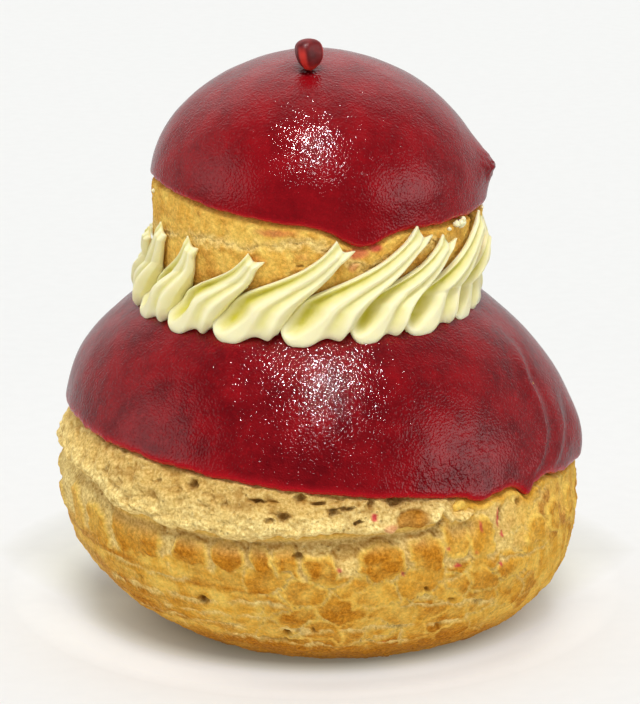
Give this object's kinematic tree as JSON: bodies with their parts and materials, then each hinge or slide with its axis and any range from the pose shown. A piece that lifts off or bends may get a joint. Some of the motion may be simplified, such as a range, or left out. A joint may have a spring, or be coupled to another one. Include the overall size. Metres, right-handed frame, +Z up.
{
  "type": "religieuse choux pastry",
  "caption": "Choux pastry of a small glazed bun standing on a larger one, with a collar of piped cream flames between them and a fruit seed on top.",
  "frame": {"origin": "the middle of the pastry's outline seen from above, at the level of the flat foot it rests on", "axes": "+Z up through both buns; -Y is the front, the side with the hanging tongue of the small glaze cap; +X is to the right seen from the front"},
  "size_m": [0.0763, 0.0761, 0.0894],
  "materials": {
    "choux_crust": "baked choux crust: pale gold to brown, crackled into small tiles, crumbly just under the glaze",
    "red_glaze": "deep red poured glaze, glossy, with a fine dimpled skin",
    "cream": "piped butter cream, pale yellow, smooth and soft",
    "seed_flesh": "translucent ruby fruit seed, wet"
  },
  "bodies": {
    "root": {"lower_choux": "choux_crust", "lower_glaze": "red_glaze", "upper_choux": "choux_crust", "upper_glaze": "red_glaze", "fruit_seed": "seed_flesh", "cream_flame_01": "cream", "cream_flame_02": "cream", "cream_flame_03": "cream", "cream_flame_04": "cream", "cream_flame_05": "cream", "cream_flame_06": "cream", "cream_flame_07": "cream", "cream_flame_08": "cream", "cream_flame_09": "cream", "cream_flame_10": "cream", "cream_flame_11": "cream", "cream_flame_12": "cream", "cream_flame_13": "cream", "cream_flame_14": "cream", "cream_flame_15": "cream", "cream_flame_16": "cream", "cream_flame_17": "cream"}
  },
  "joints": []
}
